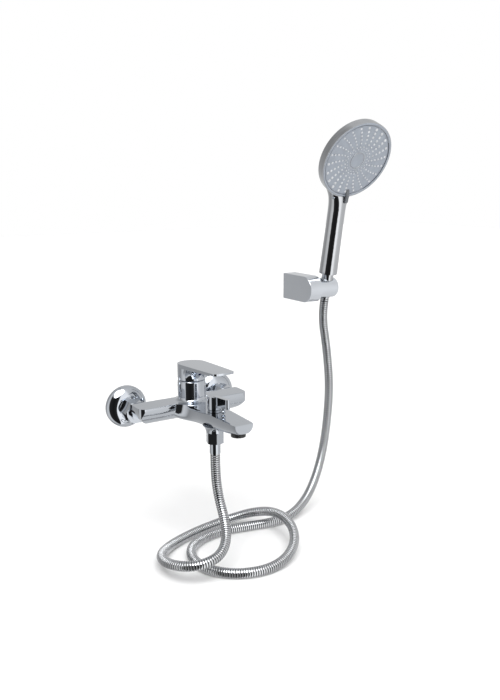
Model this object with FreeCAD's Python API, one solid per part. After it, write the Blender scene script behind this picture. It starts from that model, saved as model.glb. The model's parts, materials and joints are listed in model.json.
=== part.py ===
import math
import os

import FreeCAD
import Part

# Single-lever wall bath mixer with diverter, shower hose, swivel wall bracket and hand shower.
# Millimetres. The wall is the plane Y = 0 and the mixer stands out of it towards -Y, +Z is up.
# The origin is midway between the two water inlets, on the wall.
# "out" below is a distance out of the wall, so Y = -out.

os.makedirs("parts", exist_ok=True)
V = FreeCAD.Vector
UP = V(0, 0, 1)
OUT = V(0, -1, 0)
RIGHT = V(1, 0, 0)

# ---- driving dimensions -------------------------------------------------------------------
inlet_spacing = 150.0
tail_radius = 10.4            # G1/2 thread into the wall
swivel_radius = 13.1          # G3/4 thread under the union nut
escutcheon_radius = 31.0
escutcheon_depth = 16.0
arm_back = 44.0
arm_front = 82.0
arm_top = 16.0
arm_bottom = -12.0
arm_end = 87.0
housing_out = 69.0            # axis of the cartridge housing
housing_radius = 20.5
housing_top = 41.0
ring_top = 46.5
outlet_out = 135.0            # axis of the diverter and of the shower outlet
boss_bottom = -15.0
tip_out = 212.0
aerator_out = 197.0
bracket_left = 208.5
bracket_split = 231.5         # plane between the fixed bracket and its swivel barrel
barrel_end = 269.0
pivot_x = 254.0               # the handset axis crosses the barrel axis here
pivot_out = 54.0
pivot_z = 157.5
barrel_radius = 16.0
handle_tilt = 10.0            # degrees out of vertical, in the pose that is modelled
face_lean = 18.5              # degrees between the spray face and the handle
head_radius = 60.0
hose_radius = 7.0
floor_z = -200.0              # the surface that the loops of the hose lie on
fit = 0.35                    # clearance between bodies that move on each other
seat = 0.1                    # clearance between pieces that are screwed together
shaft_fit = 0.05              # running fit of a spindle


def at(x, out, z):
    return V(x, -out, z)


def rod(start, axis, length, radius):
    return Part.makeCylinder(radius, length, start, axis)


def tube(start, axis, length, outer, inner):
    return rod(start, axis, length, outer).cut(rod(start, axis, length, inner))


def taper(start, axis, length, radius_a, radius_b):
    return Part.makeCone(radius_a, radius_b, length, start, axis)


def block(x0, x1, out0, out1, z0, z1):
    return Part.makeBox(x1 - x0, out1 - out0, z1 - z0, at(x0, out1, z0))


def hexagon(start, axis, length, across_flats, turn=0.0):
    radius = across_flats / math.sqrt(3.0)
    corners = []
    for i in range(7):
        angle = math.radians(60 * i + turn)
        corners.append(V(radius * math.cos(angle), radius * math.sin(angle), 0))
    prism = Part.Face(Part.makePolygon(corners)).extrude(V(0, 0, length))
    bevel = 0.10 * across_flats
    drum = Part.makeCylinder(radius * 1.01, length)
    for z, direction in ((0, 1), (length, -1)):
        big = Part.makeCone(radius * 0.90, radius * 0.90 + 1.8 * bevel, bevel, V(0, 0, z), V(0, 0, direction))
        slab = Part.makeCylinder(radius * 1.2, bevel, V(0, 0, z), V(0, 0, direction))
        drum = drum.cut(slab.cut(big))
    prism = prism.common(drum)
    prism.Placement = FreeCAD.Placement(start, FreeCAD.Rotation(V(0, 0, 1), axis))
    return prism


def turned(profile, centre, axis):
    """Solid of revolution; profile is a list of (radius, height) along the axis."""
    points = [V(r, 0, h) for r, h in profile]
    if points[0] != points[-1]:
        points.append(points[0])
    solid = Part.Face(Part.makePolygon(points)).revolve(V(0, 0, 0), V(0, 0, 1), 360)
    solid.Placement = FreeCAD.Placement(centre, FreeCAD.Rotation(V(0, 0, 1), axis))
    return solid


def turned_edges(edges, centre, axis):
    solid = Part.Face(Part.Wire(edges)).revolve(V(0, 0, 0), V(0, 0, 1), 360)
    solid.Placement = FreeCAD.Placement(centre, FreeCAD.Rotation(V(0, 0, 1), axis))
    return solid


def line(a, b):
    return Part.LineSegment(a, b).toShape()


def arc(a, middle, b):
    return Part.Arc(a, middle, b).toShape()


def cut_all(shape, tools):
    for tool in tools:
        shape = shape.cut(tool)
    return shape


def fuse_all(shapes):
    result = shapes[0]
    for shape in shapes[1:]:
        result = result.fuse(shape)
    return result.removeSplitter()


nodes = {}


def node(name, shape):
    nodes[name] = shape


# ---- mixer body ---------------------------------------------------------------------------
keel_radius = 24.0             # the ends of the arms curve up, seen from the front


def arm_bar():
    """Both arms: one section, flat on top and round below, run along X."""
    nose = 1.2
    wall_edge = 5.0
    a = at(0, arm_back + wall_edge, arm_top)
    b = at(0, arm_front - nose, arm_top)
    c = at(0, arm_front, arm_top - nose)
    belly = at(0, 61, arm_bottom)
    back = at(0, arm_back, 2)
    section = [
        line(a, b),
        arc(b, at(0, arm_front - 0.3 * nose, arm_top - 0.3 * nose), c),
        arc(c, at(0, 77.5, 0.0), belly),
        arc(belly, at(0, 48.0, -7.5), back),
        line(back, at(0, arm_back, arm_top - wall_edge)),
        arc(at(0, arm_back, arm_top - wall_edge), at(0, arm_back + 1.5, arm_top - 1.5), a),
    ]
    bar = Part.Face(Part.Wire(section)).extrude(V(2 * arm_end, 0, 0))
    bar.translate(V(-arm_end, 0, 0))
    corner = 9.0
    plan = block(-arm_end, arm_end, arm_back, arm_front, arm_bottom - 2, arm_top + 2)
    upright = [e for e in plan.Edges if abs(e.tangentAt(e.FirstParameter).z) > 0.9]
    plan = plan.makeFillet(corner, upright)
    front_view = block(-arm_end, arm_end, arm_back - 1, arm_front + 1, arm_bottom, arm_top + 30)
    keel = [e for e in front_view.Edges
            if abs(e.tangentAt(e.FirstParameter).y) > 0.9 and e.CenterOfMass.z < arm_bottom + 1]
    front_view = front_view.makeFillet(keel_radius, keel)
    return bar.common(plan).common(front_view)


def spout():
    """Lofted along its length: (out of the wall, half width, lowest point)."""
    stations = (
        (62, 46.0, -10.5), (76, 38.0, -11.5), (84, 30.0, -12.0), (92, 23.5, -12.0), (103, 20.0, -11.0),
        (122, 18.3, -9.5), (148, 17.2, -7.0), (172, 16.2, -4.5), (192, 15.2, -2.0), (204, 14.6, 0.0),
        (tip_out, 13.6, 3.5),
    )
    sections = []
    for out, half, low in stations:
        height = arm_top - low
        corner_r = at(half, out, arm_top)
        corner_l = at(-half, out, arm_top)
        low_r = at(0.55 * half, out, low + 0.07 * height)
        low_l = at(-0.55 * half, out, low + 0.07 * height)
        sections.append(Part.Wire([
            line(corner_l, corner_r),
            arc(corner_r, at(0.90 * half, out, low + 0.46 * height), low_r),
            arc(low_r, at(0, out, low), low_l),
            arc(low_l, at(-0.90 * half, out, low + 0.46 * height), corner_l),
        ]))
    return Part.makeLoft(sections, True, False)


def housing():
    """The upright cylinder for the cartridge, flared where it meets the arms."""
    foot = arm_top - 6
    edges = [
        line(V(0, 0, foot), V(housing_radius + 6, 0, foot)),
        line(V(housing_radius + 6, 0, foot), V(housing_radius + 6, 0, arm_top)),
        arc(V(housing_radius + 6, 0, arm_top), V(housing_radius + 1.6, 0, arm_top + 1.7),
            V(housing_radius, 0, arm_top + 7)),
        line(V(housing_radius, 0, arm_top + 7), V(housing_radius, 0, housing_top)),
        line(V(housing_radius, 0, housing_top), V(0, 0, housing_top)),
        line(V(0, 0, housing_top), V(0, 0, foot)),
    ]
    return turned_edges(edges, at(0, housing_out, 0), UP)


def outlet_boss():
    low = V(12.2, 0, boss_bottom)
    waist = V(13.2, 0, boss_bottom + 4)
    top = V(17.0, 0, boss_bottom + 10)
    edges = [
        line(V(0, 0, boss_bottom), low),
        arc(low, waist, top),
        line(top, V(0, 0, boss_bottom + 10)),
        line(V(0, 0, boss_bottom + 10), V(0, 0, boss_bottom)),
    ]
    return turned_edges(edges, at(0, outlet_out, 0), UP)


cartridge_floor = 8.0
nut_floor = 33.0
cartridge_radius = 17.5
way_z = 1.5                    # height of the waterways
way_radius = 5.0
diverter_floor = -5.0
diverter_radius = 8.2
nipple_radius = 9.2
nipple_root = -9.0
aerator_top = 8.0
aerator_radius = 10.0
flange_out = 27.0              # end of the body's tail, against the union washer
flange_end = flange_out + 3.0
tail_outer = 10.2


def mixer_body():
    tails = []
    for side in (-1, 1):
        x = side * inlet_spacing / 2
        tails.append(rod(at(x, flange_end, 0), OUT, arm_back + 6 - flange_end, tail_outer))
        tails.append(rod(at(x, flange_out, 0), OUT, flange_end - flange_out, 12.6))
    body = fuse_all([arm_bar(), spout(), housing(), outlet_boss()] + tails)
    cuts = [
        rod(at(0, housing_out, cartridge_floor), UP, 40, cartridge_radius + seat),
        rod(at(0, housing_out, nut_floor), UP, 20, cartridge_radius + 1.0),
        rod(at(0, housing_out + 10, way_z), UP, cartridge_floor - way_z + 1, 4.0),
        rod(at(0, housing_out + 3, way_z), OUT, aerator_out - housing_out - 3, way_radius),
        rod(at(0, outlet_out, diverter_floor), UP, 40, diverter_radius),
        rod(at(0, outlet_out, -30), UP, 30, 5.5),
        rod(at(0, outlet_out, -30), UP, 30 + nipple_root, nipple_radius + seat),
        rod(at(0, aerator_out, -20), UP, 20 + aerator_top, aerator_radius + seat),
    ]
    for side in (-1, 1):
        x = side * inlet_spacing / 2
        inner = side * 8.0
        start = min(x, inner)
        cuts.append(rod(at(x, 20, 0), OUT, housing_out - 12 - 20, 7.0))
        cuts.append(rod(at(start, housing_out - 12, 0), RIGHT, abs(x - inner), 5.5))
        cuts.append(rod(at(inner, housing_out - 8, -2), UP, cartridge_floor + 3, 4.0))
    return cut_all(body, cuts)


node("mixer_body", mixer_body())


# ---- wall unions, escutcheons, union nuts -------------------------------------------------
tail_length = 20.0
union_front = flange_out - 2.0
collar = 15.0                  # opening of the escutcheon
sheet = 1.2
for side, label in ((-1, "left"), (1, "right")):
    x = side * inlet_spacing / 2
    union = fuse_all([
        rod(at(x, -tail_length, 0), OUT, tail_length, tail_radius),
        hexagon(at(x, 2, 0), OUT, 6, 22),
        rod(at(x, 8, 0), OUT, union_front - 8, swivel_radius),
        rod(at(x, 0, 0), OUT, 8.5, 11.0),
    ])
    node("wall_union_" + label, union.cut(rod(at(x, -30, 0), OUT, 70, 6.5)))

    rim = escutcheon_radius
    profile = [
        line(V(collar, 0, escutcheon_depth), V(collar, 0, escutcheon_depth - sheet)),
        arc(V(collar, 0, escutcheon_depth - sheet), V(24.5, 0, 11.4), V(rim - sheet, 0, 5.0)),
        line(V(rim - sheet, 0, 5.0), V(rim - sheet, 0, 0)),
        line(V(rim - sheet, 0, 0), V(rim, 0, 0)),
        line(V(rim, 0, 0), V(rim, 0, 6.0)),
        arc(V(rim, 0, 6.0), V(26.0, 0, 12.0), V(collar, 0, escutcheon_depth)),
    ]
    node("escutcheon_" + label, turned_edges(profile, at(x, 0, 0), OUT))

    nut_start = escutcheon_depth + 1.5
    nut_length = arm_back - 1.5 - nut_start
    nut = hexagon(at(x, nut_start, 0), OUT, nut_length, 30)
    nut = nut.cut(rod(at(x, nut_start - 1, 0), OUT, flange_end + seat - nut_start + 1, swivel_radius + seat))
    node("union_nut_" + label, nut.cut(rod(at(x, 0, 0), OUT, 80, tail_outer + seat)))
    node("union_washer_" + label, tube(at(x, union_front, 0), OUT, flange_out - union_front, 12.0, 7.5))


# ---- cartridge ----------------------------------------------------------------------------
ball_z = 44.0                  # the lever tilts about an X axis at this height
ball_radius = 2.4
ball_drop = 24.6               # from the tilt axis to the ball that pushes the moving disc
disc_radius = 10.0
disc_rest = 4.0                # the moving disc starts this far towards the wall
base_top = 13.0
fixed_disc_top = 16.0
moving_disc_top = 20.4
carrier_bottom = 20.8
carrier_radius = 14.5
shell_inner = carrier_radius + 0.35
shell_top = 36.0
neck_radius = 8.5


def cartridge_ports(floor, height):
    axis = at(0, housing_out, floor)
    ports = [rod(axis + V(0, -10, 0), UP, height, 3.4)]
    for side in (-1, 1):
        ports.append(rod(axis + V(side * 7.0, 7.0, 0), UP, height, 3.0))
    return ports


hub = at(0, housing_out, 0)
shell = rod(hub + V(0, 0, cartridge_floor + 1.5), UP, shell_top - cartridge_floor - 1.5, cartridge_radius)
shell = shell.cut(rod(hub + V(0, 0, base_top), UP, 30, shell_inner))
lid = tube(hub + V(0, 0, shell_top - 3), UP, 3, cartridge_radius, neck_radius + fit)
shell = fuse_all([shell, lid])
node("cartridge_shell", cut_all(shell, cartridge_ports(0, 20)))

gasket = rod(hub + V(0, 0, cartridge_floor), UP, 1.5, cartridge_radius - 1.5)
node("cartridge_gasket", cut_all(gasket, cartridge_ports(0, 20)))

fixed_disc = rod(hub + V(0, 0, base_top), UP, fixed_disc_top - base_top, shell_inner - 0.3)
node("cartridge_disc_fixed", cut_all(fixed_disc, cartridge_ports(0, 20)))

moving_disc = rod(hub + V(0, disc_rest, fixed_disc_top + 0.02), UP, moving_disc_top - fixed_disc_top - 0.02,
                  disc_radius)
moving_disc = moving_disc.cut(rod(hub + V(0, 0, 16.7), UP, 10, ball_radius + 0.5))
node("cartridge_disc_moving", moving_disc)

carrier = rod(hub + V(0, 0, carrier_bottom), UP, shell_top - 3.4 - carrier_bottom, carrier_radius)
carrier = carrier.fuse(rod(hub + V(0, 0, carrier_bottom), UP, ball_z + 4 - carrier_bottom, neck_radius))
window = block(-4.0, 4.0, housing_out - 3.2, housing_out + 11.4, carrier_bottom - 1, 34.0)
throat = block(-4.0, 4.0, housing_out - 5.4, housing_out + 6.2, 30.0, ball_z + 10)
node("cartridge_carrier", cut_all(carrier, [window, throat]).removeSplitter())

nut_height = housing_top - shell_top
clamp = tube(hub + V(0, 0, shell_top), UP, nut_height - 0.4, cartridge_radius + 0.9, neck_radius + 1.6)
clamp = clamp.cut(hexagon(hub + V(0, 0, shell_top + 2), UP, nut_height, 27))
node("cartridge_nut", clamp)

ring_edges = [
    line(V(housing_radius - 6, 0, housing_top), V(housing_radius, 0, housing_top)),
    line(V(housing_radius, 0, housing_top), V(housing_radius - 0.1, 0, housing_top + 2.4)),
    arc(V(housing_radius - 0.1, 0, housing_top + 2.4), V(housing_radius - 0.9, 0, ring_top - 1.0),
        V(housing_radius - 2.6, 0, ring_top)),
    line(V(housing_radius - 2.6, 0, ring_top), V(neck_radius + 2.0, 0, ring_top)),
    line(V(neck_radius + 2.0, 0, ring_top), V(neck_radius + 2.0, 0, ring_top - 1.6)),
    line(V(neck_radius + 2.0, 0, ring_top - 1.6), V(housing_radius - 6, 0, ring_top - 1.6)),
    line(V(housing_radius - 6, 0, ring_top - 1.6), V(housing_radius - 6, 0, housing_top)),
]
node("trim_ring", turned_edges(ring_edges, hub, UP))


# ---- lever --------------------------------------------------------------------------------
lever_tilt = 20.0
cap_radius = 20.3
cap_bottom = 47.2
plate_slope = 0.05
plate_tip = 164.5
stem_half = 3.5


def plate_top(out):
    return 69.5 + plate_slope * (out - 58.0)


def lever_plate():
    """Plan outline: round over the hub, nearly straight sides, soft rounded tip."""
    back = at(0, housing_out - cap_radius, 0)
    left = at(-cap_radius, housing_out, 0)
    right = at(cap_radius, housing_out, 0)
    side = 16.3
    corner_out = plate_tip - 8.0
    bulge_half = 18.9
    bulge_out = 108.0
    bend_half = side - 1.6
    bend_out = corner_out + 5.0
    end_half = 10.0
    end_out = plate_tip - 1.2
    edges = [
        arc(left, back, right),
        arc(right, at(bulge_half, bulge_out, 0), at(side, corner_out, 0)),
        arc(at(side, corner_out, 0), at(bend_half, bend_out, 0), at(end_half, end_out, 0)),
        arc(at(end_half, end_out, 0), at(0, plate_tip, 0), at(-end_half, end_out, 0)),
        arc(at(-end_half, end_out, 0), at(-bend_half, bend_out, 0), at(-side, corner_out, 0)),
        arc(at(-side, corner_out, 0), at(-bulge_half, bulge_out, 0), left),
    ]
    slab = Part.Face(Part.Wire(edges)).extrude(V(0, 0, 40))
    slab.translate(V(0, 0, 50))
    top_back = plate_top(0)
    top_front = plate_top(200)
    low_back = top_back - 8.5
    low_front = top_front - 1.6
    side_view = Part.makePolygon([
        at(-40, 0, low_back), at(-40, 200, low_front), at(-40, 200, top_front), at(-40, 0, top_back),
        at(-40, 0, low_back)])
    return slab.common(Part.Face(side_view).extrude(V(80, 0, 0)))


def lever_web():
    """Concave underside between the hub and the plate."""
    stations = (                  # height, how far out it reaches, half width
        (50.0, housing_out + cap_radius - 0.2, 20.0), (57.0, 93.5, 19.0), (65.0, 112.0, 17.2),
    )
    rings = []
    for z, front, half in stations:
        back = housing_out - cap_radius + 0.3
        major = (front - back) / 2
        centre = at(0, (front + back) / 2, z)
        ellipse = Part.Ellipse(centre + V(0, major, 0), centre + V(half, 0, 0), centre)
        if half > major:
            ellipse = Part.Ellipse(centre + V(half, 0, 0), centre + V(0, major, 0), centre)
        rings.append(Part.Wire([ellipse.toShape()]))
    return Part.makeLoft(rings, True, False)


def lever_handle():
    cap = rod(hub + V(0, 0, cap_bottom), UP, 20, cap_radius)
    solid = fuse_all([cap, lever_plate(), lever_web()])
    hollow = rod(hub + V(0, 0, cap_bottom - 1), UP, 13.8, 17.6)
    run = 40.0
    relief = Part.makePolygon([
        at(-30, housing_out - 0.6, cap_bottom), at(-30, housing_out - run, cap_bottom),
        at(-30, housing_out - run, cap_bottom + run * math.tan(math.radians(lever_tilt + 0.8))),
        at(-30, housing_out - 0.6, cap_bottom)])
    solid = cut_all(solid, [hollow, Part.Face(relief).extrude(V(60, 0, 0))])
    socket = block(-stem_half - seat, stem_half + seat, housing_out - stem_half - seat,
                   housing_out + stem_half + seat, 50, 66.4)
    grub = rod(at(0, housing_out, 63), V(0, 1, 0), 30, 2.1)
    dot = rod(at(0, housing_out + cap_radius - 1.2, 58.5), OUT, 20, 2.6)
    return cut_all(solid, [socket, grub, dot])


node("lever_handle", lever_handle())

stem = block(-stem_half, stem_half, housing_out - stem_half, housing_out + stem_half, ball_z - 6, 66.0)
pin = rod(at(-neck_radius + 0.4, housing_out, ball_z), RIGHT, 2 * neck_radius - 0.8, 2.0)
ball = at(0, housing_out, ball_z - ball_drop)
fork = rod(ball, UP, ball_drop - 4, 1.8).fuse(Part.makeSphere(ball_radius, ball))
stem = fuse_all([stem, fork, pin])
node("cartridge_stem", stem)
carrier_pin_hole = rod(at(-neck_radius - 1, housing_out, ball_z), RIGHT, 2 * neck_radius + 2, 2.0 + shaft_fit)
nodes["cartridge_carrier"] = nodes["cartridge_carrier"].cut(carrier_pin_hole)

node("lever_grub_screw", rod(at(0, housing_out - stem_half - seat, 63), V(0, 1, 0), 9.0, 2.0)
     .cut(hexagon(at(0, housing_out - stem_half - 5, 63), V(0, 1, 0), 8, 2.0)))
node("lever_indicator", rod(at(0, housing_out + cap_radius - 1.15, 58.5), OUT, 1.35, 2.5))


# ---- diverter -----------------------------------------------------------------------------
axis_d = at(0, outlet_out, 0)
bonnet = fuse_all([
    rod(axis_d + V(0, 0, diverter_floor + 2.5), UP, arm_top - diverter_floor - 2.5, diverter_radius - seat),
    rod(axis_d + V(0, 0, arm_top), UP, 1.6, 9.6),
    rod(axis_d + V(0, 0, arm_top), UP, 8.0, 6.0),
])
bonnet = bonnet.cut(rod(axis_d + V(0, 0, -20), UP, 60, 3.0 + shaft_fit))
bonnet = bonnet.cut(rod(axis_d + V(0, 0, -20), UP, 27, 6.6))
node("diverter_bonnet", bonnet.cut(rod(axis_d + V(0, 20, way_z), OUT, 40, 4.6)))
node("diverter_disc_fixed", tube(axis_d + V(0, 0, diverter_floor), UP, 2.4, 7.6, 2.4)
     .cut(rod(axis_d + V(4.6, 0, -20), UP, 40, 1.6)))

knob_bottom = 18.2
knob_top = 36.5
tab_half = 3.5
tab_end = 173.0
knob = rod(axis_d + V(0, 0, knob_bottom), UP, knob_top - knob_bottom, 10.0)
tab = block(-tab_half, tab_half, outlet_out, tab_end, 20, 50)
round_edges = [e for e in tab.Edges if abs(e.tangentAt(e.FirstParameter).z) > 0.9 and e.CenterOfMass.y < -150]
tab = tab.makeFillet(tab_half - 0.3, round_edges)
tab_side = Part.makePolygon([
    at(-9, outlet_out, 25.5), at(-9, 180, 26.6), at(-9, 180, 40.3), at(-9, outlet_out, 36.5),
    at(-9, outlet_out, 25.5)])
tab = tab.common(Part.Face(tab_side).extrude(V(18, 0, 0)))
foot_profile = [
    (0, 17.0), (2.0, 17.0), (3.1, 18.2), (3.1, 20.4), (2.4, 21.4), (3.3, 22.6), (3.3, 25.0), (2.4, 26.8),
    (0, 26.8),
]
foot = turned(foot_profile, at(0, 158.5, 0), UP)
knob = fuse_all([knob, tab, foot])
knob = knob.cut(rod(axis_d + V(0, 0, knob_bottom - 1), UP, 8.0, 6.0 + fit))
knob = knob.cut(rod(axis_d + V(0, 0, knob_bottom), UP, 15.0, 3.0 + seat))
knob = knob.cut(rod(axis_d + V(0, 0, 29.5), V(0, 1, 0), 20, 1.6))
node("diverter_knob", knob)
spindle = rod(axis_d + V(0, 0, 3.0), UP, 30, 3.0)
spindle = fuse_all([spindle, rod(axis_d + V(0, 0, 0.2), UP, 3.0, 5.6)])
node("diverter_spindle", spindle)
node("diverter_disc_moving", tube(axis_d + V(0, 0, diverter_floor + 2.45), UP, 2.6, 5.6, 1.8)
     .cut(block(-7, 0, outlet_out - 7, outlet_out, -10, 10)))
node("diverter_grub_screw", rod(axis_d + V(0, 3.05, 29.5), V(0, 1, 0), 6.0, 1.5))


# ---- shower outlet and its check valve ----------------------------------------------------
nut_top = boss_bottom - 0.3
nut_low = -31.0
ferrule_low = -46.0
nipple = rod(axis_d + V(0, 0, -26.0), UP, 26.0 + nipple_root, nipple_radius)
nipple = nipple.cut(rod(axis_d + V(0, 0, -30), UP, 40, 5.0))
nipple = nipple.cut(rod(axis_d + V(0, 0, -24), UP, 12, 6.5))
node("outlet_nipple", nipple)
valve = tube(axis_d + V(0, 0, -23.9), UP, 11.8, 6.4, 5.2)
seat_ring = tube(axis_d + V(0, 0, -14.6), UP, 2.5, 6.4, 3.4)
guide = tube(axis_d + V(0, 0, -23.9), UP, 1.6, 6.4, 1.0 + shaft_fit)
guide = guide.cut(tube(axis_d + V(0, 0, -25), UP, 4, 4.9, 2.6).cut(block(-1, 1, 120, 150, -30, 0)))
node("check_valve_body", fuse_all([valve, seat_ring, guide]))
poppet = fuse_all([
    turned([(0, -17.4), (4.6, -17.4), (4.6, -16.6), (3.9, -15.0), (0, -15.0)], axis_d, UP),
    rod(axis_d + V(0, 0, -25.5), UP, 9, 1.0),
])
node("check_valve_poppet", poppet)
node("outlet_washer", tube(axis_d + V(0, 0, -28.0), UP, 2.0, 9.0, 5.5))

hose_nut = hexagon(axis_d + V(0, 0, nut_low), UP, nut_top - nut_low, 22.0, 12.0)
hose_nut = hose_nut.cut(rod(axis_d + V(0, 0, -26.2), UP, 20, nipple_radius + seat))
hose_nut = hose_nut.cut(rod(axis_d + V(0, 0, -28.1), UP, 4, 9.15))
node("hose_nut", hose_nut.cut(rod(axis_d + V(0, 0, -40), UP, 60, 6.4)))
sleeve = tube(axis_d + V(0, 0, ferrule_low), UP, nut_low - ferrule_low - 0.2, 7.6, 4.0)
flange = tube(axis_d + V(0, 0, nut_low - 1.0), UP, 3.0, 6.2, 4.0)
node("hose_ferrule", fuse_all([sleeve, flange]))


# ---- aerator ------------------------------------------------------------------------------
axis_a = at(0, aerator_out, 0)
aerator_low = -3.4
node("aerator_washer", tube(axis_a + V(0, 0, aerator_top - 1.5), UP, 1.5, 9.6, 6.0))
housing_tube = tube(axis_a + V(0, 0, aerator_low), UP, aerator_top - 1.5 - aerator_low, aerator_radius, 8.4)
node("aerator_housing", housing_tube)
insert = rod(axis_a + V(0, 0, aerator_low + 1.0), UP, 7.0, 8.3)
for ring in range(1, 4):
    for i in range(6 * ring):
        angle = 2 * math.pi * i / (6 * ring)
        spot = V(2.3 * ring * math.cos(angle), 2.3 * ring * math.sin(angle), -20)
        insert = insert.cut(rod(axis_a + spot, UP, 40, 0.7))
node("aerator_insert", insert)


# ---- wall bracket and its swivel barrel ---------------------------------------------------
bracket_nose = 20.5
bracket_low = 137.0
bracket_high = 178.0
bracket_mid = (bracket_low + bracket_high) / 2


def bracket_block(grow, out0, x0, x1):
    """D-shaped side view: flat at the wall, round at the front."""
    radius = bracket_nose - grow
    top = bracket_mid + radius
    low = bracket_mid - radius
    edges = [
        line(at(x0, out0, low), at(x0, out0, top)),
        line(at(x0, out0, top), at(x0, pivot_out, top)),
        arc(at(x0, pivot_out, top), at(x0, pivot_out + radius, bracket_mid), at(x0, pivot_out, low)),
        line(at(x0, pivot_out, low), at(x0, out0, low)),
    ]
    return Part.Face(Part.Wire(edges)).extrude(V(x1 - x0, 0, 0))


screw_gap = 22.0
screw_x = (bracket_left + bracket_split) / 2
pivot = at(pivot_x, pivot_out, pivot_z)
axle_radius = 6.0
body = bracket_block(0, 0, bracket_left, bracket_split)
edges = [e for e in body.Edges if abs(e.CenterOfMass.x - bracket_left) < 0.01 and e.CenterOfMass.y < -1]
body = body.makeFillet(1.0, edges)
body = body.cut(bracket_block(2.5, -1, bracket_left + 2.5, bracket_split - 3.5))
boss = rod(at(bracket_left + 4, pivot_out, pivot_z), RIGHT, bracket_split + 8 - bracket_left - 4, axle_radius)
body = fuse_all([body, boss])
body = body.cut(rod(at(bracket_left + 6, pivot_out, pivot_z), RIGHT, 50, 2.0))
node("bracket_body", body.cut(rod(at(screw_x, 5, bracket_low - 2), UP, 6, 2.05)))
plate = block(bracket_left + 2.8, bracket_split - 3.8, 0, 8, bracket_low + 3, bracket_high - 3)
for z in (bracket_mid - screw_gap / 2, bracket_mid + screw_gap / 2):
    plate = plate.cut(rod(at(screw_x, -1, z), OUT, 20, 2.2))
    plate = plate.cut(taper(at(screw_x, 5.6, z), OUT, 2.5, 2.2, 4.7))
node("bracket_base", plate)
node("bracket_grub_screw", rod(at(screw_x, 5, bracket_low - 0.2), UP, 3.2, 2.0)
     .cut(hexagon(at(screw_x, 5, bracket_low - 0.3), UP, 1.6, 2.0)))

tilt = math.radians(handle_tilt)
handle_axis = V(0, -math.sin(tilt), math.cos(tilt))
face_out = V(0, -math.cos(tilt), -math.sin(tilt))
bore_top = 9.75
bore_low = 8.85


def along(s):
    return pivot + handle_axis * s


barrel_start = bracket_split + 0.4
screw_head_x = pivot_x - 11.5
barrel = rod(at(barrel_start, pivot_out, pivot_z), RIGHT, barrel_end - barrel_start, barrel_radius)
far_edge = [e for e in barrel.Edges if abs(e.CenterOfMass.x - barrel_end) < 0.01]
barrel = barrel.makeFillet(4.5, far_edge)
near_edge = [e for e in barrel.Edges if abs(e.CenterOfMass.x - barrel_start) < 0.01]
barrel = barrel.makeChamfer(0.5, near_edge)
barrel = barrel.cut(taper(along(-18), handle_axis, 36, bore_low, bore_top))
barrel = barrel.cut(rod(at(bracket_split, pivot_out, pivot_z), RIGHT, 8.4, axle_radius + shaft_fit))
barrel = barrel.cut(rod(at(bracket_split, pivot_out, pivot_z), RIGHT, 20, 2.3))
barrel = barrel.cut(rod(at(screw_head_x - seat, pivot_out, pivot_z), RIGHT, 8, 3.9))
node("holder_barrel", barrel)
screw = rod(at(bracket_left + 7, pivot_out, pivot_z), RIGHT, screw_head_x - bracket_left - 7, 1.95)
screw = fuse_all([screw, rod(at(screw_head_x, pivot_out, pivot_z), RIGHT, 1.5, 3.6)])
node("holder_pivot_screw", screw)

# ---- hose ---------------------------------------------------------------------------------
hose_top = along(-22.3)
rest_z = floor_z + hose_radius
route = [                      # (x, out of the wall, z)
    (0, outlet_out, ferrule_low), (0, 135, -78), (0, 143, -109), (-1, 161, -135), (-9, 181, -155),
    (-27, 197, -166), (-51, 202, -170), (-73, 193, -173), (-87, 171, -177), (-89, 143, -182),
    (-79, 117, -187), (-58, 96, -191), (-30, 81, rest_z), (2, 71, rest_z), (36, 66, -192),
    (68, 70, -187), (94, 86, -178), (110, 112, -170), (114, 144, -168), (108, 176, -173),
    (91, 202, -182), (63, 219, -190), (30, 224, rest_z), (-3, 216, rest_z), (-30, 196, rest_z),
    (-43, 165, rest_z), (-41, 132, rest_z), (-22, 105, rest_z), (9, 92, rest_z), (43, 90, rest_z),
    (77, 97, rest_z), (113, 106, rest_z), (151, 107, -191), (188, 96, -178), (219, 82, -151),
    (243, 69, -112), (258, 60, -62), (265, 55, -5), (262, 48, 60), (254, 45, 108),
]


def hose_path(points):
    """Straight runs joined by arcs that are as large as their two runs allow."""
    edges = []
    radii = []
    last = points[0]
    for before, here, after in zip(points, points[1:], points[2:]):
        a = before - here
        b = after - here
        run = min(a.Length, b.Length)
        turn = math.pi - a.getAngle(b)
        radius = 0.45 * run / math.tan(turn / 2)
        radii.append(radius)
        a.normalize()
        b.normalize()
        start = here + a * (0.45 * run)
        end = here + b * (0.45 * run)
        inward = a + b
        inward.normalize()
        centre = here + inward * (radius / math.cos(turn / 2))
        edges.append(line(last, start))
        edges.append(arc(start, centre - inward * radius, end))
        last = end
    edges.append(line(last, points[-1]))
    return Part.Wire(edges), radii


hose_points = [at(*p) for p in route] + [hose_top]
hose_wire, hose_radii = hose_path(hose_points)
hose_circle = Part.Circle(hose_points[0], hose_points[1] - hose_points[0], hose_radius)
hose_section = Part.Wire([hose_circle.toShape()])
hose = hose_wire.makePipeShell([hose_section], True, False)
node("hose_tube", hose)
expected = math.pi * hose_radius ** 2 * hose_wire.Length
print("hose length %.0f, volume / expected %.4f" % (hose_wire.Length, hose.Volume / expected))
print("hose radii " + " ".join("%.0f" % r for r in hose_radii))

top_run = rod(along(-24), handle_axis, 44.5, hose_radius)
node("hose_top_run", top_run.common(Part.makeSphere(22.0, pivot)))

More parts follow.
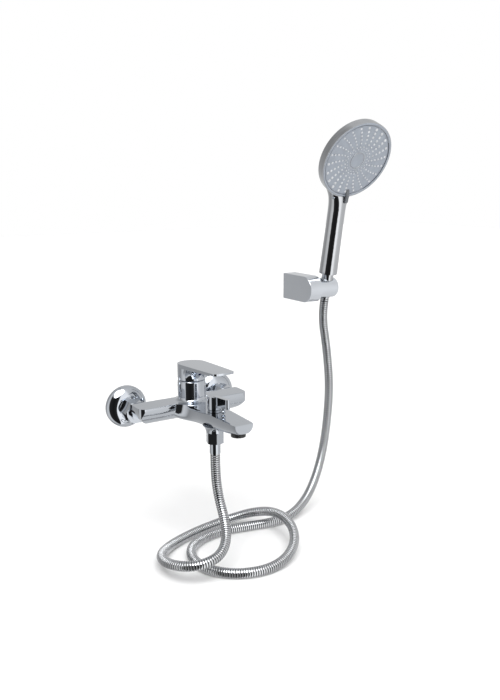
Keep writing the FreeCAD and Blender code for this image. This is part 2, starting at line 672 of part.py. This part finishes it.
cone = taper(along(-8), handle_axis, 24.5, bore_low - fit + 0.25, bore_top - fit)
cone = cone.fuse(rod(along(16.5), handle_axis, 9.0, 9.2))
cone = cone.fuse(rod(along(25.5), handle_axis, 12.0, 10.4)).removeSplitter()
node("hose_cone_nut", cone.cut(rod(along(-30), handle_axis, 90, hose_radius + fit)))
node("hose_end_ferrule", tube(along(-15), handle_axis, 6.9, bore_low - fit, hose_radius + fit))
node("hose_cone_washer", tube(along(37.6), handle_axis, 2.0, 10.2, 5.5))


# ---- hand shower --------------------------------------------------------------------------
handle_bottom = 24.0
lean = math.radians(face_lean)
head_centre = along(204.3) + face_out * 32.0
face_normal = face_out * math.cos(lean) - handle_axis * math.sin(lean)
face_up = face_out * math.sin(lean) + handle_axis * math.cos(lean)


def face_point(x, up, front):
    """x to the right, up along the face towards its top, front out of the face."""
    return head_centre + RIGHT * x + face_up * up + face_normal * front


def oval(s, out, half_x, half_out):
    centre = along(s) + face_out * out
    if half_x >= half_out:
        curve = Part.Ellipse(centre + RIGHT * half_x, centre + face_out * half_out, centre)
    else:
        curve = Part.Ellipse(centre + face_out * half_out, centre + RIGHT * half_x, centre)
    return Part.Wire([curve.toShape()])


shell_depth = 12.0
dome_depth = 25.0
rim_wall = 4.5
cavity_radius = head_radius - rim_wall
cavity_depth = 15.0
channel_top = 150.0
chamber_inlet = -40.0
ring_depth = 4.55              # the trim ring sits on a shoulder this far back


grip_sections = (              # (along the handle, out of its axis, half width, half depth)
    (handle_bottom, 0.0, 14.5, 14.3), (60, 0.0, 14.0, 13.8), (100, 0.0, 13.6, 13.4), (128, 0.0, 13.6, 13.4),
    (139, 0.2, 14.8, 13.3), (149, 1.0, 19.0, 12.8), (159, 2.5, 27.0, 12.2), (171, 6.0, 37.0, 11.5),
)


def between(s):
    """Section of the grip at s, worked out from the two stations on either side of it."""
    for a, b in zip(grip_sections, grip_sections[1:]):
        if s <= b[0] + 0.001:
            share = (s - a[0]) / (b[0] - a[0])
            return [s] + [u + (v - u) * share for u, v in zip(a[1:], b[1:])]


def handset_shell():
    steps = 16
    first = grip_sections[0][0]
    last = grip_sections[-1][0]
    stations = [first + (last - first) * i / steps for i in range(steps + 1)]
    grip = Part.makeLoft([oval(*between(s)) for s in stations], True, False)
    head = turned_edges([
        line(V(0, 0, 0), V(head_radius - 1, 0, 0)),
        line(V(head_radius - 1, 0, 0), V(head_radius - 1, 0, -ring_depth)),
        line(V(head_radius - 1, 0, -ring_depth), V(head_radius, 0, -ring_depth)),
        line(V(head_radius, 0, -ring_depth), V(head_radius - 0.4, 0, -shell_depth)),
        arc(V(head_radius - 0.4, 0, -shell_depth), V(47, 0, -20.5), V(20, 0, -dome_depth + 0.6)),
        line(V(20, 0, -dome_depth + 0.6), V(0, 0, -dome_depth)),
        line(V(0, 0, -dome_depth), V(0, 0, 0)),
    ], head_centre, face_normal)
    solid = head.fuse(grip)
    cavity = rod(head_centre - face_normal * cavity_depth, face_normal, cavity_depth + 5, cavity_radius)
    bore = rod(along(handle_bottom - 1), handle_axis, 16.2, 11.0)
    channel = rod(along(30), handle_axis, channel_top - 30, 7.6)
    mouth = along(channel_top - 4)
    rise = face_point(0, chamber_inlet, -cavity_depth) - mouth
    link = rod(mouth, rise, rise.Length + 2, 5.0)
    solid = cut_all(solid, [cavity, bore, channel, link])
    groove = tube(face_point(0, 0, -ring_depth), face_normal, 10, head_radius + 0.1, head_radius - 1)
    in_front = rod(head_centre, face_normal, 10, head_radius + 0.1)
    solid = cut_all(solid, [groove, in_front])
    return solid.cut(rod(along(36), handle_axis, 5.5, 10.6))


node("handset_shell", handset_shell())
node("handset_water_tube", tube(along(41.6), handle_axis, channel_top - 42, 7.4, 5.6))
ring_back = 0.05 - ring_depth
ring_front = 0.6
lip_back = 0.02
hoop = tube(face_point(0, 0, ring_back), face_normal, ring_front - ring_back, head_radius, head_radius - 0.95)
lip = tube(face_point(0, 0, lip_back), face_normal, ring_front - lip_back, head_radius, cavity_radius + 0.5)
node("head_trim_ring", hoop.fuse(lip).removeSplitter())

chamber_back = -14.8
chamber_front = -8.0
chamber = rod(face_point(0, 0, chamber_back), face_normal, chamber_front - chamber_back, cavity_radius - 0.4)
chamber = chamber.cut(rod(face_point(0, 0, chamber_back + 2), face_normal, 20, cavity_radius - 3.0))
chamber = chamber.fuse(rod(face_point(0, 0, chamber_back), face_normal, chamber_front - chamber_back, 8.0))
inlet = rod(face_point(0, chamber_inlet, chamber_back - 1), face_normal, 5, 5.0)
stub = rod(face_point(0, 0, chamber_front - 0.5), face_normal, 5.5, 4.0)
chamber = cut_all(chamber.removeSplitter(), [inlet]).fuse(stub).removeSplitter()
node("spray_chamber", chamber)

plate_radius = cavity_radius - 0.4
selector = rod(face_point(0, 0, chamber_front + 0.4), face_normal, 2.4, plate_radius - 1.0)
for i in range(3):
    angle = math.radians(30 + 120 * i)
    spot = face_point(28 * math.cos(angle), 28 * math.sin(angle), -20)
    selector = selector.cut(rod(spot, face_normal, 40, 6.0))
node("selector_disc", selector.cut(rod(face_point(0, 0, -20), face_normal, 40, 4.0 + shaft_fit)))

mat = rod(face_point(0, 0, -5.1), face_normal, 2.0, plate_radius - 1.0)
node("nozzle_mat", mat.cut(rod(face_point(0, 0, -20), face_normal, 40, 4.3)))
plate = rod(face_point(0, 0, -3.0), face_normal, 3.0, plate_radius)
plate = plate.cut(rod(face_point(0, 0, -3.5), face_normal, 1.5, 4.3))
node("face_plate", plate.cut(rod(face_point(0, 0, -0.9), face_normal, 5, 11.8)))
node("face_cap", rod(face_point(0, 0, -0.85), face_normal, 1.0, 11.6))

tab_turn = 3.0                 # degrees
fin_half = 2.4
fin_outline = (                # (up the face, out of the face)
    (-47.0, -0.5), (-49.0, 1.6), (-58.0, 5.0), (-66.5, 6.3), (-69.0, 4.5), (-60.0, 1.6), (-54.8, 0.95),
    (-54.8, -0.5), (-47.0, -0.5),
)
fin = Part.makePolygon([face_point(-fin_half, up, front) for up, front in fin_outline])
fin = Part.Face(fin).extrude(V(2 * fin_half, 0, 0))
fin.rotate(head_centre, face_normal, tab_turn)
nodes["face_plate"] = nodes["face_plate"].cut(fin)
node("selector_tab", fin)

for name, shape in sorted(nodes.items()):
    solids = shape.Solids
    bad = "" if shape.isValid() else " INVALID"
    single = solids[0] if len(solids) == 1 else Part.makeCompound(solids)
    single.exportStep("parts/" + name + ".step")
    if len(solids) != 1 or bad:
        print(name, len(solids), "solids", bad)
print(len(nodes), "nodes")
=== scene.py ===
import json
import math

import bpy
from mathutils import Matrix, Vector


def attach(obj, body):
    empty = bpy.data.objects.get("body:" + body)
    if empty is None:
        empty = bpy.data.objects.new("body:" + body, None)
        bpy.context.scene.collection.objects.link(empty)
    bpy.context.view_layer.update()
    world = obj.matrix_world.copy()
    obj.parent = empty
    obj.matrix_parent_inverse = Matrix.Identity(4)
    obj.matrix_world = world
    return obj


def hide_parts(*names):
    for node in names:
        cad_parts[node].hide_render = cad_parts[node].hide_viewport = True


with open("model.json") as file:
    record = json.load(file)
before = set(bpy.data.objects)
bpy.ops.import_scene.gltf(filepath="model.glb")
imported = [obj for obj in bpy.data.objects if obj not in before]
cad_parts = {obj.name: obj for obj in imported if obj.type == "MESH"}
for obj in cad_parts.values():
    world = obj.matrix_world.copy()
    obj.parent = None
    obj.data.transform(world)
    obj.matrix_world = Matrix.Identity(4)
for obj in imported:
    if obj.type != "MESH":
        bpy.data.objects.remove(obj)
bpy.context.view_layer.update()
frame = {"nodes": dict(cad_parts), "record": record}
nodes = frame["nodes"]

# Metres. The wall is Y = 0, the mixer stands out towards -Y, Z is up, as in the CAD.
FLOOR_Z = -0.200
HOSE_RADIUS = 0.0070
RIB_PITCH = 0.0033
REST_MM = -193                 # the hose's axis where it lies on the floor
PIVOT = Vector((0.254, -0.054, 0.1575))
HANDLE_TILT = math.radians(10.0)
FACE_LEAN = math.radians(18.5)
HOSE_SIDES = 22                # flats round the hose
RING_STEPS = 96                # steps round a ring of the spray face
TUBE_END = 0.0223              # the long hose stops this far below the pivot
RUN_START = 0.0216             # the short run inside the holder, below and above the pivot
RUN_END = 0.0200

RIGHT = Vector((1, 0, 0))
HANDLE_AXIS = Vector((0, -math.sin(HANDLE_TILT), math.cos(HANDLE_TILT)))
FACE_OUT = Vector((0, -math.cos(HANDLE_TILT), -math.sin(HANDLE_TILT)))
FACE_NORMAL = FACE_OUT * math.cos(FACE_LEAN) - HANDLE_AXIS * math.sin(FACE_LEAN)
FACE_UP = FACE_OUT * math.sin(FACE_LEAN) + HANDLE_AXIS * math.cos(FACE_LEAN)
HEAD_CENTRE = PIVOT + HANDLE_AXIS * 0.2043 + FACE_OUT * 0.0320


def face_point(x, up, front):
    return HEAD_CENTRE + RIGHT * x + FACE_UP * up + FACE_NORMAL * front


# ---- materials ----------------------------------------------------------------------------
def new_material(name, colour, metallic, roughness):
    material = bpy.data.materials.new(name)
    material.use_nodes = True
    shader = material.node_tree.nodes["Principled BSDF"]
    shader.inputs["Base Color"].default_value = (*colour, 1)
    shader.inputs["Metallic"].default_value = metallic
    shader.inputs["Roughness"].default_value = roughness
    return material, material.node_tree, shader


def noise(tree, scale, detail=3.0):
    where = tree.nodes.new("ShaderNodeTexCoord")
    texture = tree.nodes.new("ShaderNodeTexNoise")
    texture.inputs["Scale"].default_value = scale
    texture.inputs["Detail"].default_value = detail
    tree.links.new(where.outputs["Object"], texture.inputs["Vector"])
    return texture.outputs["Fac"]


def ramp(tree, value, stops):
    node = tree.nodes.new("ShaderNodeValToRGB")
    elements = node.color_ramp.elements
    while len(elements) < len(stops):
        elements.new(0.5)
    for element, (place, colour) in zip(elements, stops):
        element.position = place
        element.color = (*colour, 1)
    tree.links.new(value, node.inputs["Fac"])
    return node.outputs["Color"]


def vary_colour(tree, shader, value, low, high):
    tree.links.new(ramp(tree, value, [(0.35, low), (0.65, high)]), shader.inputs["Base Color"])


def vary_roughness(tree, shader, value, low, high):
    node = tree.nodes.new("ShaderNodeMapRange")
    node.inputs["From Min"].default_value = 0.3
    node.inputs["From Max"].default_value = 0.7
    node.inputs["To Min"].default_value = low
    node.inputs["To Max"].default_value = high
    tree.links.new(value, node.inputs["Value"])
    tree.links.new(node.outputs["Result"], shader.inputs["Roughness"])


def add_bump(tree, shader, value, strength, distance):
    node = tree.nodes.new("ShaderNodeBump")
    node.inputs["Strength"].default_value = strength
    node.inputs["Distance"].default_value = distance
    tree.links.new(value, node.inputs["Height"])
    tree.links.new(node.outputs["Normal"], shader.inputs["Normal"])


def surface(name, low, high, metallic, rough_low, rough_high, scale, bump=0.0, distance=0.0001):
    """Material whose colour and roughness drift between two values, with a fine bump if bump is given."""
    middle = [(a + b) / 2 for a, b in zip(low, high)]
    material, tree, shader = new_material(name, middle, metallic, (rough_low + rough_high) / 2)
    value = noise(tree, scale, 4.0)
    vary_colour(tree, shader, value, low, high)
    vary_roughness(tree, shader, value, rough_low, rough_high)
    if bump:
        add_bump(tree, shader, noise(tree, scale * 6, 2.0), bump, distance)
    return material


def grey(value, blue=0.0):
    return (value, value * (1 + 0.4 * blue), value * (1 + blue))


chrome = surface("chrome", grey(0.54, 0.13), grey(0.58, 0.13), 1.0, 0.03, 0.06, 9.0)
satin = surface("satin_chrome", grey(0.76, 0.11), grey(0.80, 0.11), 1.0, 0.16, 0.19, 12.0)
plated = surface("chromed_plastic", grey(0.52, 0.06), grey(0.56, 0.06), 1.0, 0.04, 0.07, 14.0, 0.02,
                 0.00005)
steel = surface("hose_steel", grey(0.56, 0.05), grey(0.62, 0.05), 1.0, 0.06, 0.12, 60.0, 0.05)
# near-black material for the recesses between the hose's ribs: painted shade
painted_groove_shade = surface("hose_groove_painted_shade", grey(0.035), grey(0.060), 1.0, 0.30, 0.45, 60.0, 0.10)
machined = surface("machined_steel", grey(0.50), grey(0.60), 1.0, 0.22, 0.38, 80.0, 0.10)
brass = surface("machined_brass", (0.62, 0.44, 0.19), (0.72, 0.54, 0.26), 1.0, 0.20, 0.34, 50.0, 0.10)
face_grey = surface("face_grey", (0.310, 0.340, 0.390), (0.345, 0.378, 0.430), 0.0, 0.34, 0.46, 120.0,
                    0.08, 0.00008)
dark_grey = surface("selector_grey", grey(0.11, 0.15), grey(0.14, 0.15), 0.0, 0.30, 0.42, 90.0, 0.05)
silicone = surface("nozzle_silicone", grey(0.62, 0.05), grey(0.72, 0.05), 0.0, 0.38, 0.52, 160.0, 0.05)
rubber = surface("seal_rubber", grey(0.018), grey(0.032), 0.0, 0.55, 0.75, 120.0, 0.2)
ceramic = surface("ceramic", (0.78, 0.77, 0.73), (0.84, 0.83, 0.80), 0.0, 0.12, 0.22, 90.0, 0.03)
white_plastic = surface("white_plastic", grey(0.66), grey(0.74), 0.0, 0.38, 0.50, 100.0, 0.06)
dark_plastic = surface("aerator_black", grey(0.012), grey(0.022), 0.0, 0.28, 0.42, 90.0, 0.06)


def indicator_material():
    """Half red for hot, half blue for cold, split across the dot."""
    material, tree, shader = new_material("indicator", (0.5, 0.05, 0.1), 0.0, 0.25)
    where = tree.nodes.new("ShaderNodeTexCoord")
    parts = tree.nodes.new("ShaderNodeSeparateXYZ")
    spread = tree.nodes.new("ShaderNodeMapRange")
    spread.inputs["From Min"].default_value = -0.0025
    spread.inputs["From Max"].default_value = 0.0025
    tree.links.new(where.outputs["Object"], parts.inputs["Vector"])
    tree.links.new(parts.outputs["X"], spread.inputs["Value"])
    colour = ramp(tree, spread.outputs["Result"], [(0.48, (0.45, 0.015, 0.02)), (0.52, (0.02, 0.06, 0.42))])
    tree.links.new(colour, shader.inputs["Base Color"])
    return material


by_slot = {
    "chrome": chrome, "satin_chrome": satin, "chromed_plastic": plated, "hose_steel": steel,
    "grey_plastic": face_grey, "dark_grey_plastic": dark_grey, "pale_silicone": silicone, "brass": brass,
    "steel": machined, "ceramic": ceramic, "white_plastic": white_plastic, "black_rubber": rubber,
    "dark_plastic": dark_plastic, "indicator": indicator_material(),
}
for part in frame["record"]["subparts"]:
    mesh = nodes[part["node"]].data
    mesh.materials.clear()
    mesh.materials.append(by_slot[part["material_slot"]])


# ---- mesh helpers -------------------------------------------------------------------------
def add_piece(name, vertices, faces, material, body):
    mesh = bpy.data.meshes.new(name)
    mesh.from_pydata([tuple(v) for v in vertices], [], faces)
    mesh.materials.append(material)
    for polygon in mesh.polygons:
        polygon.use_smooth = True
    mesh.update()
    piece = bpy.data.objects.new(name, mesh)
    bpy.context.collection.objects.link(piece)
    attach(piece, body)
    return piece


def ring_points(centre, across, along, radius, count):
    """A circle of points round centre, in the plane of across and along."""
    points = []
    for i in range(count):
        angle = 2 * math.pi * i / count
        points.append(centre + across * (radius * math.cos(angle)) + along * (radius * math.sin(angle)))
    return points


def skin(rings):
    """Vertices and faces of a closed tube through rings of equal length."""
    count = len(rings[0])
    faces = []
    for r in range(len(rings) - 1):
        for i in range(count):
            j = (i + 1) % count
            faces.append((r * count + i, r * count + j, (r + 1) * count + j, (r + 1) * count + i))
    faces.append(tuple(reversed(range(count))))
    faces.append(tuple(range((len(rings) - 1) * count, len(rings) * count)))
    vertices = [p for ring in rings for p in ring]
    return vertices, faces


def turned_on_face(name, profile, material, body):
    """Ring round the middle of the spray face: profile is a closed list of (radius, height)."""
    up = FACE_NORMAL.cross(RIGHT)
    vertices = []
    for i in range(RING_STEPS):
        angle = 2 * math.pi * i / RING_STEPS
        spoke = RIGHT * math.cos(angle) + up * math.sin(angle)
        for radius, height in profile:
            vertices.append(HEAD_CENTRE + spoke * radius + FACE_NORMAL * height)
    size = len(profile)
    faces = []
    for i in range(RING_STEPS):
        j = (i + 1) % RING_STEPS
        for k in range(size):
            m = (k + 1) % size
            faces.append((i * size + k, i * size + m, j * size + m, j * size + k))
    add_piece(name, vertices, faces, material, body)


# ---- hose ---------------------------------------------------------------------------------
ROUTE_MM = (                   # (x, out of the wall, z), the same route as the CAD tube
    (0, 135, -46), (0, 135, -78), (0, 143, -109), (-1, 161, -135), (-9, 181, -155),
    (-27, 197, -166), (-51, 202, -170), (-73, 193, -173), (-87, 171, -177), (-89, 143, -182),
    (-79, 117, -187), (-58, 96, -191), (-30, 81, REST_MM), (2, 71, REST_MM), (36, 66, -192),
    (68, 70, -187), (94, 86, -178), (110, 112, -170), (114, 144, -168), (108, 176, -173),
    (91, 202, -182), (63, 219, -190), (30, 224, REST_MM), (-3, 216, REST_MM), (-30, 196, REST_MM),
    (-43, 165, REST_MM), (-41, 132, REST_MM), (-22, 105, REST_MM), (9, 92, REST_MM), (43, 90, REST_MM),
    (77, 97, REST_MM), (113, 106, REST_MM), (151, 107, -191), (188, 96, -178), (219, 82, -151),
    (243, 69, -112), (258, 60, -62), (265, 55, -5), (262, 48, 60), (254, 45, 108),
)
hose_points = [Vector((x, -out, z)) / 1000 for x, out, z in ROUTE_MM]
hose_points.append(PIVOT - HANDLE_AXIS * TUBE_END)


def smooth_line(points):
    """Points along the smooth curve that has these control points."""
    data = bpy.data.curves.new("hose_line", "CURVE")
    data.dimensions = "3D"
    data.resolution_u = 14
    spline = data.splines.new("NURBS")
    spline.points.add(len(points) - 1)
    for target, point in zip(spline.points, points):
        target.co = (*point, 1)
    spline.order_u = 3
    spline.use_endpoint_u = True
    holder = bpy.data.objects.new("hose_line", data)
    bpy.context.collection.objects.link(holder)
    bpy.context.view_layer.update()
    mesh = bpy.data.meshes.new_from_object(holder)
    line = [v.co.copy() for v in mesh.vertices]
    bpy.data.objects.remove(holder)
    bpy.data.curves.remove(data)
    return line


def even_steps(line, step):
    """The same line with points an even distance apart, and its length."""
    total = sum((b - a).length for a, b in zip(line, line[1:]))
    count = max(2, round(total / step))
    step = total / count
    result = [line[0].copy()]
    walked = 0.0
    wanted = step
    for a, b in zip(line, line[1:]):
        part = (b - a).length
        while wanted <= walked + part + 1e-9 and len(result) < count:
            result.append(a.lerp(b, (wanted - walked) / part))
            wanted += step
        walked += part
    result.append(line[-1].copy())
    return result, total


RIB_PROFILE = (                # (share of the pitch, share of the radius); its low ends are the recess between ribs, coloured near-black as painted shade
    (0.00, 0.85), (0.05, 0.95), (0.12, 0.992), (0.22, 1.0), (0.66, 1.0), (0.76, 0.992), (0.83, 0.95),
    (0.88, 0.85),
)


def wound_tube(name, centres, body):
    """Tube of wound strip: one rounded rib for each step between centres, the recesses between ribs
    near-black as painted shade.
    """
    tangents = []
    for i in range(len(centres)):
        a = centres[max(0, i - 1)]
        b = centres[min(len(centres) - 1, i + 1)]
        tangents.append((b - a).normalized())
    across = tangents[0].orthogonal().normalized()
    rings = []
    for i in range(len(centres) - 1):
        across = (across - tangents[i] * across.dot(tangents[i])).normalized()
        for share, size in RIB_PROFILE:
            tangent = tangents[i].lerp(tangents[i + 1], share).normalized()
            side = (across - tangent * across.dot(tangent)).normalized()
            centre = centres[i].lerp(centres[i + 1], share)
            rings.append(ring_points(centre, side, tangent.cross(side), HOSE_RADIUS * size, HOSE_SIDES))
    vertices, faces = skin(rings)
    tube = add_piece(name, vertices, faces, steel, body)
    tube.data.materials.append(painted_groove_shade)
    rows = len(RIB_PROFILE)
    # the rows of the recess between ribs take the near-black material: painted shade
    for index, polygon in enumerate(tube.data.polygons):
        if (index // HOSE_SIDES) % rows in (0, rows - 2, rows - 1):
            polygon.material_index = 1
    return tube


hose_line = smooth_line(hose_points)
hose_centres, hose_length = even_steps(hose_line, RIB_PITCH)
hose = wound_tube("shower_hose", hose_centres, "mixer")
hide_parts("hose_tube")

top_start = PIVOT - HANDLE_AXIS * RUN_START
top_end = PIVOT + HANDLE_AXIS * RUN_END
top_centres, _ = even_steps([top_start, top_end], RIB_PITCH)
top_run = wound_tube("hose_inside_nut", top_centres, "holder")
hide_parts("hose_top_run")


# ---- spray face ---------------------------------------------------------------------------
def nozzle_mesh(vertices, faces, x, up, base_radius, height, count=10):
    """A small tapered nozzle with a dimple for its hole."""
    profile = ((1.25, -0.1), (1.15, 0.25), (0.95, 0.8), (0.78, 1.0), (0.48, 1.0), (0.40, 0.75))
    start = len(vertices)
    rings = []
    for radius, level in profile:
        centre = face_point(x, up, level * height)
        rings.append(ring_points(centre, RIGHT, FACE_UP, radius * base_radius, count))
    more, more_faces = skin(rings)
    vertices.extend(more)
    faces.extend(tuple(start + i for i in face) for face in more_faces)


def nozzle_circle(vertices, faces, number, turn, ring_radius, base_radius, height, count):
    for i in range(number):
        angle = 2 * math.pi * (i + turn) / number
        x = ring_radius * math.cos(angle)
        nozzle_mesh(vertices, faces, x, ring_radius * math.sin(angle), base_radius, height, count)


def spray_nozzles():
    """Curved rows of nozzles, larger outwards and towards one diagonal, round two rings of small ones."""
    vertices = []
    faces = []
    rows = 22
    per_row = 6
    inner = 0.0215
    outer = 0.0510
    sweep = 0.13
    for row in range(rows):
        sector = math.cos(2 * (2 * math.pi * row / rows - math.radians(45)))
        for k in range(per_row):
            share = k / (per_row - 1)
            radius = inner + (outer - inner) * share
            angle = 2 * math.pi * row / rows + sweep * share ** 1.3
            size = 0.00095 + 0.00065 * share + 0.00040 * share * sector
            nozzle_mesh(vertices, faces, radius * math.cos(angle), radius * math.sin(angle), size, 0.0009)
    nozzle_circle(vertices, faces, rows, 0.5, 0.0178, 0.00070, 0.0007, 8)
    nozzle_circle(vertices, faces, 36, 0.0, 0.0139, 0.00042, 0.0005, 6)
    return vertices, faces


nozzle_vertices, nozzle_faces = spray_nozzles()
add_piece("spray_nozzles", nozzle_vertices, nozzle_faces, silicone, "spray_face")


def ring_on_face(name, radius, width, height, material):
    """Low raised ring with chamfered edges."""
    inside = radius - width / 2
    outside = radius + width / 2
    root = -0.0002
    shoulder = height * 0.6
    profile = [
        (inside, root), (inside, shoulder), (radius - width / 4, height),
        (radius + width / 4, height), (outside, shoulder), (outside, root),
    ]
    turned_on_face(name, profile, material, "spray_face")


ring_on_face("face_centre_ring", 0.0120, 0.0010, 0.00055, plated)
ring_on_face("face_edge_ring", 0.0546, 0.0008, 0.00045, face_grey)
rim_profile = [
    (0.0560, 0.0004), (0.0560, 0.0008), (0.0566, 0.0011), (0.0583, 0.0011), (0.0588, 0.0008),
    (0.0588, 0.0004),
]
turned_on_face("face_rim", rim_profile, face_grey, "handset")


# ---- studio -------------------------------------------------------------------------------
# brightness of the room by direction, in degrees round from +X towards +Y
WALLS = (
    (-180, 0.60), (-172, 0.50), (-167, 0.02), (-130, 0.01), (-101, 0.02), (-96, 0.95), (-72, 0.95),
    (-62, 0.60), (-35, 0.50), (-10, 0.50), (20, 0.46), (75, 0.46), (105, 0.34), (140, 0.25), (160, 0.48),
    (180, 0.60),
)
# and by height, from level to straight up
CEILING = ((0.0, 1.0), (0.25, 0.95), (0.60, 0.90), (0.80, 1.0), (1.0, 1.0))
WORLD_STRENGTH = 1.5
SENSOR = 36.0
FOCAL_TO_HEIGHT = 1.0803143     # focal length over the height of the picture
CAMERA_PLACE = (-0.49615, -1.00352, 0.32795)
CAMERA_AZIMUTH = 32.53          # degrees
CAMERA_ELEVATION = 12.80


def studio_floor():
    mesh = bpy.data.meshes.new("studio_floor")
    half = 6.0
    corners = [(-half, -half), (half, -half), (half, half), (-half, half)]
    mesh.from_pydata([(x, y, FLOOR_Z) for x, y in corners], [], [(0, 1, 2, 3)])
    floor = bpy.data.objects.new("studio_floor", mesh)
    bpy.context.collection.objects.link(floor)
    material, tree, shader = new_material("floor_white", (0.93, 0.93, 0.93), 0.0, 0.85)
    shader.inputs["Specular IOR Level"].default_value = 0.0
    vary_colour(tree, shader, noise(tree, 3.0), grey(0.925), grey(0.935))
    mesh.materials.append(material)
    floor.visible_glossy = False


def calculate(tree, operation, first, second):
    """Math node; second is a number or another node's output."""
    node = tree.nodes.new("ShaderNodeMath")
    node.operation = operation
    tree.links.new(first, node.inputs[0])
    if isinstance(second, (int, float)):
        node.inputs[1].default_value = second
    else:
        tree.links.new(second, node.inputs[1])
    return node.outputs["Value"]


def world_light():
    """The camera sees white. The chrome reflects a room with one dark gap, fixed in the world."""
    world = bpy.data.worlds.new("studio")
    bpy.context.scene.world = world
    world.use_nodes = True
    tree = world.node_tree
    where = tree.nodes.new("ShaderNodeTexCoord")
    parts = tree.nodes.new("ShaderNodeSeparateXYZ")
    tree.links.new(where.outputs["Generated"], parts.inputs["Vector"])
    turn = calculate(tree, "ARCTAN2", parts.outputs["Y"], parts.outputs["X"])
    share = calculate(tree, "ADD", calculate(tree, "DIVIDE", turn, 2 * math.pi), 0.5)
    walls = ramp(tree, share, [(degrees / 360 + 0.5, grey(value)) for degrees, value in WALLS])
    height = ramp(tree, parts.outputs["Z"], [(rise, grey(value)) for rise, value in CEILING])
    both = tree.nodes.new("ShaderNodeMix")
    both.data_type = "RGBA"
    both.blend_type = "MULTIPLY"
    both.inputs["Factor"].default_value = 1.0
    tree.links.new(walls, both.inputs["A"])
    tree.links.new(height, both.inputs["B"])
    room = tree.nodes["Background"]
    room.inputs["Strength"].default_value = WORLD_STRENGTH
    tree.links.new(both.outputs["Result"], room.inputs["Color"])
    white = tree.nodes.new("ShaderNodeBackground")
    white.inputs["Color"].default_value = (1, 1, 1, 1)
    seen = tree.nodes.new("ShaderNodeLightPath")
    choice = tree.nodes.new("ShaderNodeMixShader")
    tree.links.new(seen.outputs["Is Camera Ray"], choice.inputs["Fac"])
    tree.links.new(room.outputs["Background"], choice.inputs[1])
    tree.links.new(white.outputs["Background"], choice.inputs[2])
    tree.links.new(choice.outputs["Shader"], tree.nodes["World Output"].inputs["Surface"])


def sun_light(name, direction, power, spread):
    data = bpy.data.lights.new(name, "SUN")
    data.energy = power
    data.angle = math.radians(spread)
    light = bpy.data.objects.new(name, data)
    bpy.context.collection.objects.link(light)
    light.rotation_mode = "QUATERNION"
    light.rotation_quaternion = Vector(direction).to_track_quat("-Z", "Y")


studio_floor()
world_light()
sun_light("soft_key", (0.35, 0.55, -1.0), 2.6, 50)

camera_data = bpy.data.cameras.new("camera")
camera_data.sensor_width = SENSOR
camera_data.lens = SENSOR * FOCAL_TO_HEIGHT
camera_data.clip_end = 50.0
camera = bpy.data.objects.new("camera", camera_data)
bpy.context.collection.objects.link(camera)
camera.location = CAMERA_PLACE
camera.rotation_euler = (math.radians(90 - CAMERA_ELEVATION), 0.0, math.radians(-CAMERA_AZIMUTH))
bpy.context.scene.camera = camera
bpy.context.scene.view_settings.view_transform = "Standard"
